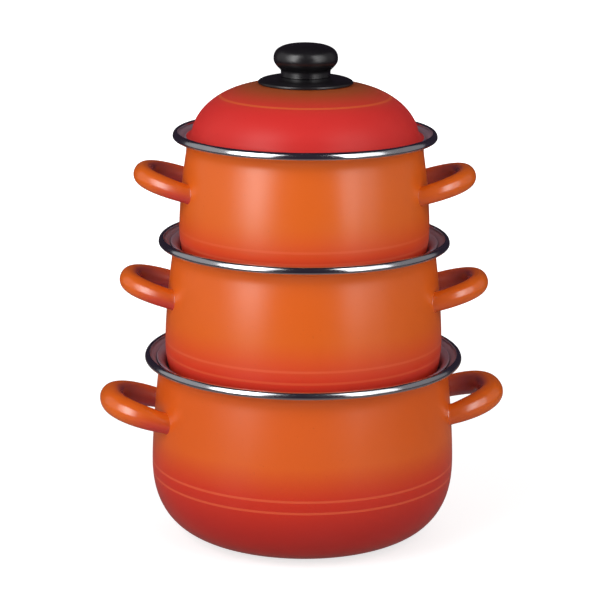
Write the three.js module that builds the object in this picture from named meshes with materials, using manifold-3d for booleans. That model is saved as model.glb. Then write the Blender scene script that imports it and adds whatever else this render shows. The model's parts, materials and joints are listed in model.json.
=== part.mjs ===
// A nesting set of three enamelled steel casseroles, stacked as they are stored. Each upper pot stands in
// the turned-over lid of the pot beneath it, and the smallest pot wears its own lid the right way up.
// Millimetres, +Z up, origin at the centre of the bottom pot's foot, handles along X.
import * as THREE from "three";
import { mergeVertices } from "three/addons/utils/BufferGeometryUtils.js";
import Module from "manifold-3d";

const wasm = await Module();
wasm.setup();

// Mouths are inside diameters, bellies and feet are outside diameters, and heights are above the pot's
// own foot. The rim height is to the middle of the rim band, and the handle's drop is measured from there.

// Large pot, at the bottom of the stack
const largeMouth = 200;
const largeBelly = 212.2;
const largeFoot = 123.4;
const largeBellyHeight = 51;
const largeRimHeight = 126;
const largeHandleDrop = 40.5;
const largeHandleReach = 36.8;
const largeHandleSpan = 63;
const largeHandleTube = 16.8;
const largeHandleTurn = 7.7;
const largeDomeRise = 41;

// Middle pot, which stands in the large pot's lid
const middleMouth = 180;
const middleBelly = 194;
const middleFoot = 111;
const middleBellyHeight = 47;
const middleRimHeight = 117;
const middleHandleDrop = 39.4;
const middleHandleReach = 32;
const middleHandleSpan = 56;
const middleHandleTube = 14.2;
const middleDomeRise = 37;

// Small pot, which stands in the middle pot's lid and wears its own
const smallMouth = 160;
const smallBelly = 174;
const smallFoot = 98.8;
const smallBellyHeight = 42;
const smallRimHeight = 105.5;
const smallHandleDrop = 38.9;
const smallHandleReach = 31.7;
const smallHandleSpan = 60;
const smallHandleTube = 14;
const smallDomeRise = 32.8;

// Pots from the bottom of the stack up
const pots = [
  {
    name: "20",
    mouth: largeMouth,
    belly: largeBelly,
    foot: largeFoot,
    bellyHeight: largeBellyHeight,
    rimHeight: largeRimHeight,
    handleDrop: largeHandleDrop,
    handleReach: largeHandleReach,
    handleSpan: largeHandleSpan,
    handleTube: largeHandleTube,
    handleTurn: largeHandleTurn,
    domeRise: largeDomeRise,
  },
  {
    name: "18",
    mouth: middleMouth,
    belly: middleBelly,
    foot: middleFoot,
    bellyHeight: middleBellyHeight,
    rimHeight: middleRimHeight,
    handleDrop: middleHandleDrop,
    handleReach: middleHandleReach,
    handleSpan: middleHandleSpan,
    handleTube: middleHandleTube,
    handleTurn: 0,
    domeRise: middleDomeRise,
  },
  {
    name: "16",
    mouth: smallMouth,
    belly: smallBelly,
    foot: smallFoot,
    bellyHeight: smallBellyHeight,
    rimHeight: smallRimHeight,
    handleDrop: smallHandleDrop,
    handleReach: smallHandleReach,
    handleSpan: smallHandleSpan,
    handleTube: smallHandleTube,
    handleTurn: 0,
    domeRise: smallDomeRise,
  },
];

// Sheet steel with its enamel, and the gap kept between pieces that touch
const sheet = 1.3;
const clearance = 0.3;

// Pot foot: a standing ring round a shallow hollow
const footRing = 9;
const footHollow = 1.2;
const footStep = 4;

// Pot outline: roundness of the lower corner and of the shoulder
const cornerPower = 2.35;
const shoulderPower = 1.6;

// Flared lip, and the steel band wrapped over its flat edge
const lipRise = 9;
const lipFlare = 5.5;
const lipFlange = 2.2;
const bandTall = 5.6;
const bandGrip = 1.9;
const bandNose = 1.5;
const bandDrop = 0.8;

// Looped handle: a round tube that rises outwards, with flared feet on the wall
const loopPower = 2.5;
const loopTilt = 16;
const loopSink = 4;
const footFlare = 1.8;
const footLength = 8;

// Lid: a dome whose side drops inside the mouth, and a coved brim that lies on the lip
const brimOverlap = 2.5;
const domeInset = 2.7;
const coveTall = 4.8;
const domeSidePower = 3.13;
const domeTopPower = 1.54;

// Knob and the skirt under it
const skirtWide = 65;
const skirtEdge = 1.2;
const skirtRise = 3.4;
const skirtPower = 1.8;
const neckWide = 34;
const neckTall = 4.1;
const capWide = 44;
const capFlank = 7.4;
const capCrown = 10.6;
const capPower = 2.7;

// Knob fastening
const screwWide = 5;
const screwGrip = 8;
const screwHeadWide = 9.2;
const screwHeadTall = 2.8;
const screwHeadFlat = 6.4;
const washerWide = 14;
const washerThick = 1;
const insertWide = 9;
const insertLong = 10;

// Facets
const turnFacets = 28;
const knobFacets = 20;
const screwFacets = 10;
const cornerSteps = 5;
const shoulderSteps = 2;
const lipSteps = 3;
const bandSteps = 4;
const domeSteps = 6;
const coveSteps = 2;
const loopSteps = 14;
const tubeSides = 8;
const flankSteps = 3;
const skirtSteps = 4;
const crownSteps = 4;

const enamelOrange = new THREE.MeshStandardMaterial({ color: 0xdd6527, roughness: 0.15 });
const enamelRed = new THREE.MeshStandardMaterial({ color: 0xd33836, roughness: 0.15 });
const polishedSteel = new THREE.MeshStandardMaterial({ color: 0xc9ccd2, roughness: 0.1, metalness: 1 });
const blackResin = new THREE.MeshStandardMaterial({ color: 0x1c1a1e, roughness: 0.35 });
const platedSteel = new THREE.MeshStandardMaterial({ color: 0xa9adb3, roughness: 0.3, metalness: 1 });
const brass = new THREE.MeshStandardMaterial({ color: 0xb58a3c, roughness: 0.35, metalness: 1 });

const screwHole = screwWide / 2 + clearance;
const quarterTurn = Math.PI / 2;

const point = (radius, height) => new THREE.Vector2(radius, height);

// Fractions from 0 to 1 in even steps, both ends included.
const fractions = (count) => Array.from({ length: count + 1 }, (_, i) => i / count);

// A solid of revolution about Z from an outline of radius and height.
function turned(outline, facets) {
  return new THREE.LatheGeometry(outline, facets).rotateX(quarterTurn);
}

// An outline moved square to itself: to its left for a positive distance.
function offset(outline, distance) {
  return outline.map((here, i) => {
    const before = outline[Math.max(i - 1, 0)];
    const after = outline[Math.min(i + 1, outline.length - 1)];
    const along = after.clone().sub(before).normalize();
    return point(here.x - along.y * distance, here.y + along.x * distance);
  });
}

const turnedOver = (outline) => outline.map((here) => point(here.x, -here.y));

// Height of an outline at a radius, for an outline whose radii only grow.
function heightAt(outline, radius) {
  const after = outline.findIndex((here, i) => i > 0 && here.x >= radius);
  const from = outline[after - 1];
  const to = outline[after];
  const share = (radius - from.x) / (to.x - from.x);
  return from.y + share * (to.y - from.y);
}

// Height at which the upper outline rests on the lower one, with the clearance between them.
function restingHeight(lower, upper) {
  const nearest = Math.max(lower[0].x, upper[0].x);
  const farthest = Math.min(lower.at(-1).x, upper.at(-1).x);
  const radii = [...lower, ...upper].map((here) => here.x);
  const shared = radii.filter((radius) => radius >= nearest && radius <= farthest);
  const lifts = shared.map((radius) => heightAt(lower, radius) - heightAt(upper, radius));
  return Math.max(...lifts) + clearance;
}

// Underside of a pot from the middle of its foot out to its belly.
function potUnderside(pot) {
  const footRadius = pot.foot / 2;
  const cornerWidth = pot.belly / 2 - footRadius;
  const hollow = [
    point(0, footHollow),
    point(footRadius - footRing - footStep, footHollow),
    point(footRadius - footRing, 0),
  ];
  const corner = fractions(cornerSteps).map((share) => {
    const out = Math.sin(share * quarterTurn) ** (2 / cornerPower);
    const up = 1 - Math.cos(share * quarterTurn) ** (2 / cornerPower);
    return point(footRadius + out * cornerWidth, up * pot.bellyHeight);
  });
  return [...hollow, ...corner];
}

const neckRadius = (pot) => pot.mouth / 2 + sheet;
const neckHeight = (pot) => pot.rimHeight - sheet / 2 - lipRise;

// Outside of a pot's wall from above the belly to the neck.
function potShoulder(pot) {
  const bulge = pot.belly / 2 - neckRadius(pot);
  const climb = neckHeight(pot) - pot.bellyHeight;
  return fractions(shoulderSteps)
    .slice(1)
    .map((share) => point(pot.belly / 2 - bulge * share ** shoulderPower, pot.bellyHeight + climb * share));
}

// Underside of the flared lip from above the neck to the flat edge that the band grips.
function potLip(pot) {
  const flare = fractions(lipSteps)
    .slice(1)
    .map((share) => {
      const angle = share * quarterTurn;
      const out = lipFlare * (1 - Math.cos(angle));
      return point(neckRadius(pot) + out, neckHeight(pot) + lipRise * Math.sin(angle));
    });
  const edge = point(neckRadius(pot) + lipFlare + lipFlange, neckHeight(pot) + lipRise);
  return [...flare, edge];
}

const potOutside = (pot) => [...potUnderside(pot), ...potShoulder(pot), ...potLip(pot)];

// Inside of the flared lip, where a lid's brim lies.
function lipInside(pot) {
  return offset(potOutside(pot), sheet).slice(-lipSteps - 1);
}

function potBody(pot) {
  const outside = potOutside(pot);
  const inside = offset(outside, sheet).reverse();
  return turned([...outside, ...inside], turnFacets);
}

// A rounded steel band, widest a little below its middle, with a slot that takes the edge of the lip.
function rimBand(pot) {
  const edge = potLip(pot).at(-1);
  const slotEnd = edge.x + clearance;
  const slotMouth = edge.x - bandGrip;
  const slotHalf = sheet / 2 + clearance;
  const depth = slotEnd + bandNose - slotMouth;
  const face = fractions(bandSteps).map((share) => {
    const angle = (2 * share - 1) * quarterTurn;
    const reach = bandTall / 2 + Math.sign(angle) * bandDrop;
    return point(slotMouth + depth * Math.cos(angle), pot.rimHeight - bandDrop + reach * Math.sin(angle));
  });
  const slot = [
    point(slotMouth, pot.rimHeight + slotHalf),
    point(slotEnd, pot.rimHeight + slotHalf),
    point(slotEnd, pot.rimHeight - slotHalf),
    point(slotMouth, pot.rimHeight - slotHalf),
  ];
  return turned([...face, ...slot, face[0]], turnFacets);
}

function solidOf(geometry) {
  const bare = geometry.clone();
  bare.deleteAttribute("normal");
  bare.deleteAttribute("uv");
  const merged = mergeVertices(bare);
  const vertProperties = merged.getAttribute("position").array;
  const triVerts = new Uint32Array(merged.index.array);
  return new wasm.Manifold(new wasm.Mesh({ numProp: 3, vertProperties, triVerts }));
}

function geometryOf(solid) {
  const mesh = solid.getMesh();
  const geometry = new THREE.BufferGeometry();
  geometry.setAttribute("position", new THREE.BufferAttribute(mesh.vertProperties, mesh.numProp));
  geometry.setIndex(new THREE.BufferAttribute(mesh.triVerts, 1));
  geometry.computeVertexNormals();
  return geometry;
}

// Half a superellipse in the XY plane: two legs along X joined by a rounded bar.
class HandleLoop extends THREE.Curve {
  constructor(reach, span) {
    super();
    this.reach = reach;
    this.span = span;
  }

  getPoint(t) {
    const angle = (2 * t - 1) * quarterTurn;
    const out = this.reach * Math.cos(angle) ** (2 / loopPower);
    const side = (this.span / 2) * Math.abs(Math.sin(angle)) ** (2 / loopPower);
    return new THREE.Vector3(out, Math.sign(angle) * side, 0);
  }
}

// Distance along X from the pot's axis to its neck, at the middle of a handle's leg.
function legRoot(pot) {
  return Math.sqrt(neckRadius(pot) ** 2 - (pot.handleSpan / 2) ** 2);
}

// A leg's flared foot: a trumpet along X that starts inside the wall.
function handleFoot(pot, side) {
  const tubeRadius = pot.handleTube / 2 - clearance;
  const trumpet = fractions(flankSteps).map((share) => {
    const spread = footFlare * (1 - share) ** 2;
    return point(tubeRadius + spread, share * footLength);
  });
  const outline = [point(0, -footLength), point(trumpet[0].x, -footLength), ...trumpet, point(0, footLength)];
  return turned(outline, tubeSides)
    .rotateY(quarterTurn)
    .translate(loopSink, (side * pot.handleSpan) / 2, 0);
}

// The tube and feet of one handle, before the wall trims them.
function handleBlank(pot) {
  const tilt = THREE.MathUtils.degToRad(loopTilt);
  const start = legRoot(pot) - loopSink;
  const tip = pot.belly / 2 + pot.handleReach - pot.handleTube / 2;
  const loop = new HandleLoop((tip - start) / Math.cos(tilt), pot.handleSpan);
  const section = new THREE.Shape().absarc(0, 0, pot.handleTube / 2, 0, 2 * Math.PI);
  const options = { steps: loopSteps, curveSegments: tubeSides / 2, extrudePath: loop, bevelEnabled: false };
  const tube = solidOf(new THREE.ExtrudeGeometry(section, options));
  const feet = [-1, 1].map((side) => solidOf(handleFoot(pot, side)));
  const blank = tube.add(feet[0]).add(feet[1]);
  return geometryOf(blank)
    .rotateY(-tilt)
    .translate(start, 0, pot.rimHeight - pot.handleDrop);
}

// One handle on the given side of its pot, its feet cut to lie on the wall.
function handle(pot, halfTurns) {
  const angle = THREE.MathUtils.degToRad(pot.handleTurn) + halfTurns * Math.PI;
  const outside = offset(potOutside(pot), -clearance);
  const core = [...outside, point(0, outside.at(-1).y)];
  const blank = solidOf(handleBlank(pot).rotateZ(angle));
  return geometryOf(blank.subtract(solidOf(turned(core, turnFacets))));
}

const springHeight = coveTall + sheet;
const crownHeight = (pot) => springHeight + pot.domeRise;

// Outside of a lid from its screw hole to the edge of its brim, above the brim's underside.
function lidOutside(pot) {
  const domeRadius = pot.mouth / 2 - domeInset;
  const coveWide = brimOverlap + domeInset;
  const dome = fractions(domeSteps)
    .slice(1)
    .map((share) => {
      const out = Math.sin(share * quarterTurn) ** (2 / domeSidePower);
      const up = Math.cos(share * quarterTurn) ** (2 / domeTopPower);
      return point(domeRadius * out, springHeight + pot.domeRise * up);
    });
  const cove = fractions(coveSteps)
    .slice(1)
    .map((share) => {
      const angle = share * quarterTurn;
      return point(domeRadius + coveWide * (1 - Math.cos(angle)), springHeight - coveTall * Math.sin(angle));
    });
  return [point(screwHole, crownHeight(pot)), ...dome, ...cove];
}

const lidInside = (pot) => offset(lidOutside(pot), -sheet);

function lidShell(pot) {
  const outside = lidOutside(pot);
  const inside = lidInside(pot).reverse();
  return turned([...outside, ...inside, outside[0]].reverse(), turnFacets);
}

// The skirt lies on the lid's crown, and its rounded top climbs to the knob's neck.
function knobSkirt(pot) {
  const lid = lidOutside(pot);
  const radii = [screwHole, ...lid.map((here) => here.x).filter((x) => x > screwHole && x < skirtWide / 2)];
  const under = [...radii, skirtWide / 2].map((radius) => point(radius, heightAt(lid, radius) + clearance));
  const seat = knobSeat(pot) - clearance;
  const edgeTop = under.at(-1).y + skirtEdge;
  const top = fractions(skirtSteps).map((share) => {
    const out = Math.cos(share * quarterTurn) ** (2 / skirtPower);
    const up = Math.sin(share * quarterTurn) ** (2 / skirtPower);
    return point(neckWide / 2 + ((skirtWide - neckWide) / 2) * out, edgeTop + (seat - edgeTop) * up);
  });
  return turned([...under, ...top, point(screwHole, seat), under[0]], knobFacets);
}

// Height of the knob's underside in the lid's own frame.
const knobSeat = (pot) => crownHeight(pot) + skirtRise + 2 * clearance;

// A knob with a short straight neck, swelling flanks and a rounded crown, bored for its insert.
function knob(pot) {
  const seat = knobSeat(pot);
  const flankFoot = seat + neckTall;
  const boreRadius = insertWide / 2 + clearance;
  const boreTop = seat + insertLong + clearance;
  const flank = fractions(flankSteps).map((share) => {
    const swell = ((capWide - neckWide) / 2) * Math.sin(share * quarterTurn);
    return point(neckWide / 2 + swell, flankFoot + capFlank * share);
  });
  const crown = fractions(crownSteps)
    .slice(1, -1)
    .map((share) => {
      const out = Math.cos(share * quarterTurn) ** (2 / capPower);
      const up = Math.sin(share * quarterTurn) ** (2 / capPower);
      return point((capWide / 2) * out, flankFoot + capFlank + capCrown * up);
    });
  const bore = [point(0, boreTop), point(boreRadius, boreTop), point(boreRadius, seat)];
  const neckFoot = point(neckWide / 2, seat);
  const top = point(0, flankFoot + capFlank + capCrown);
  return turned([...bore, neckFoot, ...flank, ...crown, top], knobFacets);
}

function tubeOutline(outerRadius, innerRadius, bottom, top) {
  const ring = [
    point(innerRadius, bottom),
    point(outerRadius, bottom),
    point(outerRadius, top),
    point(innerRadius, top),
  ];
  return [...ring, ring[0]];
}

function knobInsert(pot) {
  const seat = knobSeat(pot);
  return turned(tubeOutline(insertWide / 2, screwHole, seat, seat + insertLong), screwFacets);
}

const washerTop = (pot) => crownHeight(pot) - sheet - clearance;

function washer(pot) {
  const top = washerTop(pot);
  return turned(tubeOutline(washerWide / 2, screwHole, top - washerThick, top), screwFacets);
}

function screw(pot) {
  const headTop = washerTop(pot) - washerThick - clearance;
  const headRadius = screwHeadWide / 2;
  const tip = knobSeat(pot) + screwGrip;
  const outline = [
    point(0, headTop - screwHeadTall),
    point(screwHeadFlat / 2, headTop - screwHeadTall),
    point(headRadius, headTop - screwHeadTall / 2),
    point(headRadius, headTop),
    point(screwWide / 2, headTop),
    point(screwWide / 2, tip),
    point(0, tip),
  ];
  return turned(outline, screwFacets);
}

function named(name, geometry, material) {
  const mesh = new THREE.Mesh(geometry, material);
  mesh.name = name;
  return mesh;
}

function potGroup(pot) {
  const prefix = "pot_" + pot.name;
  return new THREE.Group().add(
    named(prefix + "_body", potBody(pot), enamelOrange),
    named(prefix + "_rim_band", rimBand(pot), polishedSteel),
    named(prefix + "_handle_right", handle(pot, 0), enamelOrange),
    named(prefix + "_handle_left", handle(pot, 1), enamelOrange),
  );
}

function lidGroup(pot) {
  const prefix = "lid_" + pot.name;
  return new THREE.Group().add(
    named(prefix + "_shell", lidShell(pot), enamelRed),
    named(prefix + "_knob_skirt", knobSkirt(pot), blackResin),
    named(prefix + "_knob", knob(pot), blackResin),
    named(prefix + "_knob_insert", knobInsert(pot), brass),
    named(prefix + "_washer", washer(pot), platedSteel),
    named(prefix + "_screw", screw(pot), platedSteel),
  );
}

// The stack from the ground up: a pot, its lid, and the next pot standing in that lid.
const stack = new THREE.Group();
let foot = 0;
pots.forEach((pot, i) => {
  const potPlace = potGroup(pot);
  potPlace.position.z = foot;
  const lidPlace = lidGroup(pot);
  const next = pots[i + 1];
  if (next) {
    lidPlace.rotation.x = Math.PI;
    lidPlace.position.z = foot + restingHeight(lipInside(pot), turnedOver(lidOutside(pot)));
    foot = lidPlace.position.z + restingHeight(turnedOver(lidInside(pot)), potUnderside(next));
  } else {
    lidPlace.position.z = foot + restingHeight(lipInside(pot), lidInside(pot));
  }
  stack.add(potPlace, lidPlace);
});

export default stack;
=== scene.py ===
# A nesting set of three enamelled steel casseroles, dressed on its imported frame.
# Sizes are in millimetres above each pot's own foot or lid's own brim, and meshes come out in metres.
import json
import math

import bpy
import numpy as np
from mathutils import Matrix, Vector

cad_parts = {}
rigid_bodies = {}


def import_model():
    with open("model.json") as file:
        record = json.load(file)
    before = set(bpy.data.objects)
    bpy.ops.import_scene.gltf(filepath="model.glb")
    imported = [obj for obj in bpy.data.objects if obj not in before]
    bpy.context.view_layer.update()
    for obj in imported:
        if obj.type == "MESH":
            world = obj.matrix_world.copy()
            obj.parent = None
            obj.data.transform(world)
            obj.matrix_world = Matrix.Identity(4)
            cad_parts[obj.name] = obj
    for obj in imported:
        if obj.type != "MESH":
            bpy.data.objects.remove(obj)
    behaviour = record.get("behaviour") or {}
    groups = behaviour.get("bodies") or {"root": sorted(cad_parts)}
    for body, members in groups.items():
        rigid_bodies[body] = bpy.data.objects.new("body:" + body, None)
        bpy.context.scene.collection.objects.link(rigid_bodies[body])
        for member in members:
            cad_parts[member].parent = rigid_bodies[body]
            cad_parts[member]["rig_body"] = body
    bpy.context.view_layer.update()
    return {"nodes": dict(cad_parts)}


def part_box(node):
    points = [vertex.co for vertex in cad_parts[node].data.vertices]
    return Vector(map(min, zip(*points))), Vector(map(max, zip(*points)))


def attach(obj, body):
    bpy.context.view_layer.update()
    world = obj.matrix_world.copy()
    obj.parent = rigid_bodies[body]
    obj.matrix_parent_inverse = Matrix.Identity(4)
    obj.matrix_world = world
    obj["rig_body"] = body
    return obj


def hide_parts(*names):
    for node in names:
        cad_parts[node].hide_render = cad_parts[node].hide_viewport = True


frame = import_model()

MM = 0.001

# Pots from the bottom of the stack up: mouths inside, bellies and feet outside, heights above the foot and
# drops below the rim. The lift raises the sprayed red, and redness tints the orange. Brightness paints the
# red lighter on the upper pots: painted light standing in for what the rim and lid below reflect on to them.
POTS = (
    {
        "name": "20", "mouth": 200, "belly": 212.2, "foot": 123.4, "belly_height": 51, "rim_height": 126,
        "handle_drop": 40.5, "handle_reach": 36.8, "handle_span": 63, "handle_tube": 16.8, "handle_turn": 7.7,
        "leg_taper": 1.6, "dome_rise": 41, "stripe_drop": 73.9, "spray_lift": 9, "redness": 0.16,
        "brightness": 0, "lid_is_over": True,
    },
    {
        "name": "18", "mouth": 180, "belly": 193, "foot": 111, "belly_height": 47, "rim_height": 117,
        "handle_drop": 39.4, "handle_reach": 32, "handle_span": 56, "handle_tube": 14.2, "handle_turn": 0,
        "leg_taper": 0.5, "dome_rise": 37, "stripe_drop": 69.2, "spray_lift": 0, "redness": 0.04,
        "brightness": 0.8, "lid_is_over": True,
    },
    {
        "name": "16", "mouth": 160, "belly": 173, "foot": 98.8, "belly_height": 42, "rim_height": 105.5,
        "handle_drop": 38.9, "handle_reach": 31.7, "handle_span": 60, "handle_tube": 14, "handle_turn": 0,
        "leg_taper": 0.8, "dome_rise": 32.8, "stripe_drop": 64.4, "spray_lift": -5, "redness": 0,
        "brightness": 1, "lid_is_over": False,
    },
)

# Sheet, gaps and pot outline
SHEET = 1.3
GAP = 0.3
FOOT_RING = 9
FOOT_HOLLOW = 1.2
FOOT_STEP = 4
CORNER_POWER = 2.35
SHOULDER_POWER = 1.6
NECK_SOFTNESS = 5

# Flared lip and the steel band rolled over its edge
LIP_RISE = 9
LIP_FLARE = 5.5
LIP_FLANGE = 2.2
BAND_TALL = 5.6
BAND_GRIP = 1.9
BAND_NOSE = 1.5
BAND_HEM = 0.9
BAND_DROP = 0.8

# Looped handle, with the share of red on its roots, which on the left handles is mostly a painted reflection
LOOP_POWER = 2.5
LOOP_TILT = 16
LOOP_SINK = 4
LOOP_SOFTNESS = 1
WELD_SINK = 0.5
WELD_SPREAD = 0.9
WELD_LENGTH = 4
LEG_LENGTH = 32
WELD_SEARCH = 25
TIP_TRIM = 0.4
ROOT_RED_AND_REFLECTION = {"left": 1.0, "right": 0.2}

# Lid, with the share of the mouth's radius at which its pale ring lies
BRIM_OVERLAP = 2.5
DOME_INSET = 2.7
COVE_TALL = 4.8
DOME_SIDE_POWER = 3.13
DOME_TOP_POWER = 1.54
LID_SOFTNESS = 5.5
FLANK_SHARE = 0.8
RING_SHARE = 0.73

# Knob, its skirt and its fastening
SKIRT_WIDE = 65
SKIRT_EDGE = 1.2
SKIRT_RISE = 3.4
SKIRT_POWER = 1.8
NECK_WIDE = 34
NECK_TALL = 4.1
CAP_WIDE = 44
CAP_FLANK = 7.4
CAP_CROWN = 10.6
CAP_POWER = 2.7
KNOB_SOFTNESS = 1.2
SCREW_WIDE = 5
SCREW_GRIP = 8
SCREW_HEAD_WIDE = 9.2
SCREW_HEAD_TALL = 2.8
THREAD_PITCH = 0.8
THREAD_DEPTH = 0.4
RECESS_REACH = 2.3
RECESS_FLOOR = 1.2
RECESS_HALF = 0.55
RECESS_WALL = 0.25
RECESS_DEPTH = 1.5
WASHER_WIDE = 14
WASHER_THICK = 1
INSERT_WIDE = 9
INSERT_LONG = 10
INSERT_GROOVES = 2
INSERT_GROOVE = 0.35
EDGE_ROUND = 0.35

SCREW_HOLE = SCREW_WIDE / 2 + GAP
SPRING_HEIGHT = COVE_TALL + SHEET

# Mesh fineness
POT_TURNS = 168
KNOB_TURNS = 96
SCREW_TURNS = 64
OUTLINE_STEPS = 96
LOOP_STEPS = 900
TUBE_RINGS = 121
TUBE_TURNS = 56
HALVINGS = 40
CREASE = math.radians(38)
SAME_POINT = 1e-6
CLEAN_DECIMALS = 9

# Points on each stretch of an outline
HOLLOW_POINTS = 8
FOOT_STEP_POINTS = 9
FOOT_RING_POINTS = 6
CORNER_POINTS = 60
SHOULDER_POINTS = 40
LIP_POINTS = 24
LOWER_NOSE_POINTS = 15
UPPER_NOSE_POINTS = 19
HEM_POINTS = 9
DOME_POINTS = 34
COVE_POINTS = 16
BRIM_POINTS = 9
SKIRT_UNDER_POINTS = 20
SKIRT_TOP_POINTS = 24
SKIRT_SEAT_POINTS = 3
NECK_POINTS = 8
FLANK_POINTS = 20
GRIP_POINTS = 36
CAP_POINTS = 26
GROOVE_POINTS = 41
HEAD_POINTS = 40
SHANK_POINTS = 140
EDGE_POINTS = 5
FLAT_POINTS = 4


# Outlines and surfaces


def line(start, end, count):
    """Even points of the straight line between two (radius, height) points."""
    share = np.linspace(0, 1, count)[:, None]
    return np.array(start, float) * (1 - share) + np.array(end, float) * share


def arc(centre, width, height, first, last, count, power=2.0):
    """Points c + (w cos^(2/p), h sin^(2/p)) of a superellipse between two angles in degrees."""
    angle = np.radians(np.linspace(first, last, count))
    across = np.sign(np.cos(angle)) * np.abs(np.cos(angle)).round(CLEAN_DECIMALS) ** (2 / power)
    up = np.sign(np.sin(angle)) * np.abs(np.sin(angle)).round(CLEAN_DECIMALS) ** (2 / power)
    return np.array(centre, float) + np.stack([width * across, height * up], 1)


def joined(*stretches):
    """Stretches of outline end to end, with repeated points left out."""
    outline = np.concatenate(stretches)
    step = np.linalg.norm(np.diff(outline, axis=0), axis=1)
    return outline[np.concatenate([[True], step > SAME_POINT])]


def run_lengths(points):
    """Length along a line of points, from its start to each of them."""
    return np.concatenate([[0], np.cumsum(np.linalg.norm(np.diff(points, axis=0), axis=1))])


def directions(points):
    """Unit direction of a line of points at each of them."""
    along = np.gradient(points, axis=0)
    return along / np.linalg.norm(along, axis=1)[:, None]


def offset(outline, distance):
    """The outline moved square to itself, to its left for a positive distance."""
    along = directions(outline)
    return outline + distance * np.stack([-along[:, 1], along[:, 0]], 1)


def softened(outline, reach, count):
    """The outline resampled at even lengths, each point the weighted mean of those within reach of it."""
    length = run_lengths(outline)
    even = np.linspace(0, length[-1], count)
    points = np.stack([np.interp(even, length, outline[:, k]) for k in range(2)], 1)
    half = max(int(reach / even[1]), 1)
    weight = np.hanning(2 * half + 3)[1:-1]
    before = 2 * points[:1] - points[half:0:-1]
    after = 2 * points[-1:] - points[-2:-half - 2:-1]
    padded = np.concatenate([before, points, after])
    return np.stack([np.convolve(padded[:, k], weight / weight.sum(), "valid") for k in range(2)], 1)


def cells(rows, columns, rows_close):
    """Corner numbers of the cells of a grid whose columns close, and whose rows close where asked."""
    down, along = np.meshgrid(np.arange(rows if rows_close else rows - 1), np.arange(columns), indexing="ij")
    beside = (along + 1) % columns
    upper = down * columns
    lower = (down + 1) % rows * columns
    corners = [upper + along, upper + beside, lower + beside, lower + along]
    return np.stack(corners, -1).reshape(-1, 4)


def capped(points, first_pole, last_pole):
    """A grid of rows of points with a pole at each end: all points, and the faces with the row of each."""
    rows, columns = points.shape[:2]
    every = np.concatenate([points.reshape(-1, 3), [first_pole, last_pole]])
    here = np.arange(columns)
    beside = (here + 1) % columns
    bottom = np.stack([np.full(columns, rows * columns), beside, here], 1)
    final = (rows - 1) * columns
    top = np.stack([final + here, final + beside, np.full(columns, rows * columns + 1)], 1)
    faces = cells(rows, columns, False).tolist() + bottom.tolist() + top.tolist()
    grid_rows = np.repeat(np.arange(rows - 1), columns)
    face_rows = np.concatenate([grid_rows, np.zeros(columns, int), np.full(columns, rows - 2)])
    return every, faces, face_rows


def carried_round(outline, turns):
    """Rings of points of an outline of radii and heights: x = r cos a, y = r sin a, z = h."""
    angle = np.linspace(0, 2 * np.pi, turns, endpoint=False)
    radius = outline[:, :1]
    height = np.repeat(outline[:, 1:], turns, 1)
    return np.stack([radius * np.cos(angle), radius * np.sin(angle), height], -1)


def turned(outline, turns):
    """An outline carried round Z. Ends on the axis become poles, and an outline clear of the axis closes on
    itself. The solid lies to the outline's left."""
    on_axis = outline[0, 0] < SAME_POINT
    rings = outline[1:-1] if on_axis else outline
    points = carried_round(rings, turns)
    if on_axis:
        return capped(points, [0, 0, outline[0, 1]], [0, 0, outline[-1, 1]])
    faces = cells(len(rings), turns, True)
    return points.reshape(-1, 3), faces.tolist(), np.repeat(np.arange(len(rings)), turns)


def lifted(surface, height):
    """The surface moved up by a height."""
    points, faces, face_rows = surface
    return points + [0, 0, height], faces, face_rows


def on_lid(surface, pot):
    """A surface in the lid's own frame, put where the lid lies: turned over about X, or upright."""
    low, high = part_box(f"lid_{pot['name']}_knob")
    points, faces, face_rows = surface
    if pot["lid_is_over"]:
        return points * [1, -1, -1] + [0, 0, high.z / MM + knob_seat(pot)], faces, face_rows
    return points + [0, 0, low.z / MM - knob_seat(pot)], faces, face_rows


# Pieces


def add_piece(name, node, surface, materials, material_rows=None, values=None):
    """Puts a surface into a mesh object that rides on its node's body and stands for that node. Faces from
    the given row on take the second material, and each named set of values becomes an attribute."""
    points, faces, face_rows = surface
    mesh = bpy.data.meshes.new(name)
    mesh.from_pydata((points * MM).tolist(), [], faces)
    mesh.shade_smooth()
    mesh.set_sharp_from_angle(angle=CREASE)
    for material in materials:
        mesh.materials.append(material)
    if material_rows is not None:
        mesh.polygons.foreach_set("material_index", (face_rows >= material_rows).astype(np.int32))
    for key, numbers in (values or {}).items():
        attribute = mesh.attributes.new(key, "FLOAT", "POINT")
        attribute.data.foreach_set("value", numbers.astype(np.float32))
    piece = bpy.data.objects.new(name, mesh)
    bpy.context.scene.collection.objects.link(piece)
    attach(piece, frame["nodes"][node]["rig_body"])
    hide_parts(node)


def pot_base(pot):
    """Height of a pot's foot in the stack."""
    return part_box(f"pot_{pot['name']}_body")[0].z / MM


def neck_radius(pot):
    """Outside radius of the neck: the mouth's and a sheet."""
    return pot["mouth"] / 2 + SHEET


def neck_height(pot):
    """Height at which the lip starts to flare."""
    return pot["rim_height"] - SHEET / 2 - LIP_RISE


def wall_radius(pot, height):
    """Outside radius of the shoulder: belly radius less the bulge times (climbed share)^power."""
    bulge = pot["belly"] / 2 - neck_radius(pot)
    share = np.clip((height - pot["belly_height"]) / (neck_height(pot) - pot["belly_height"]), 0, 1)
    return pot["belly"] / 2 - bulge * share ** SHOULDER_POWER


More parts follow.
